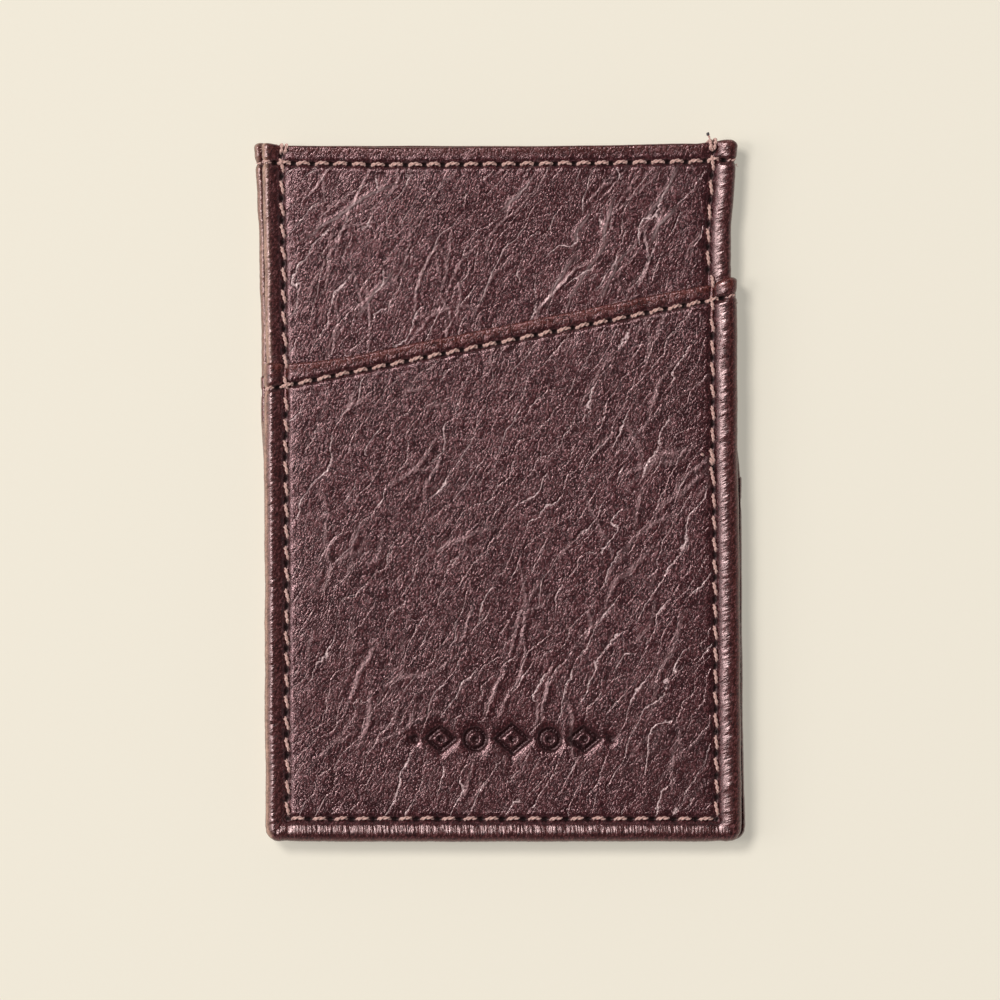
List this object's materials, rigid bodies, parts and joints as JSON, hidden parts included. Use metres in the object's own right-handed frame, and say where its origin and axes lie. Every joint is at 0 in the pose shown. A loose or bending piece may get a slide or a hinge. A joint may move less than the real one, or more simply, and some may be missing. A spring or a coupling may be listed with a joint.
{
  "type": "slim card wallet",
  "caption": "Slim vertical leather card wallet: a middle slot open at the top between two boards, with a slanted slip pocket on each face.",
  "frame": {"origin": "centre of the outline, on the face that the wallet rests on", "axes": "+Y towards the mouth, +Z out of the front face, X across the wallet"},
  "size_m": [0.069, 0.1, 0.0052],
  "materials": {
    "leather": "glossy pebbled dark brown",
    "lining": "thin woven cloth, dark brown",
    "stiffener": "thin bonded-fibre board",
    "thread": "bonded two-ply thread, brown"
  },
  "bodies": {
    "root": {"front_panel_leather": "leather", "front_panel_stiffener": "stiffener", "front_panel_lining": "lining", "front_pocket_leather": "leather", "front_pocket_stiffener": "stiffener", "front_pocket_lining": "lining", "front_mouth_seam_needle_thread": "thread", "front_mouth_seam_bobbin_thread": "thread", "front_pocket_seam_needle_thread": "thread", "front_pocket_seam_bobbin_thread": "thread", "rear_panel_leather": "leather", "rear_panel_stiffener": "stiffener", "rear_panel_lining": "lining", "rear_pocket_leather": "leather", "rear_pocket_stiffener": "stiffener", "rear_pocket_lining": "lining", "rear_mouth_seam_needle_thread": "thread", "rear_mouth_seam_bobbin_thread": "thread", "rear_pocket_seam_needle_thread": "thread", "rear_pocket_seam_bobbin_thread": "thread", "edge_seam_needle_thread": "thread", "edge_seam_bobbin_thread": "thread"}
  },
  "joints": []
}
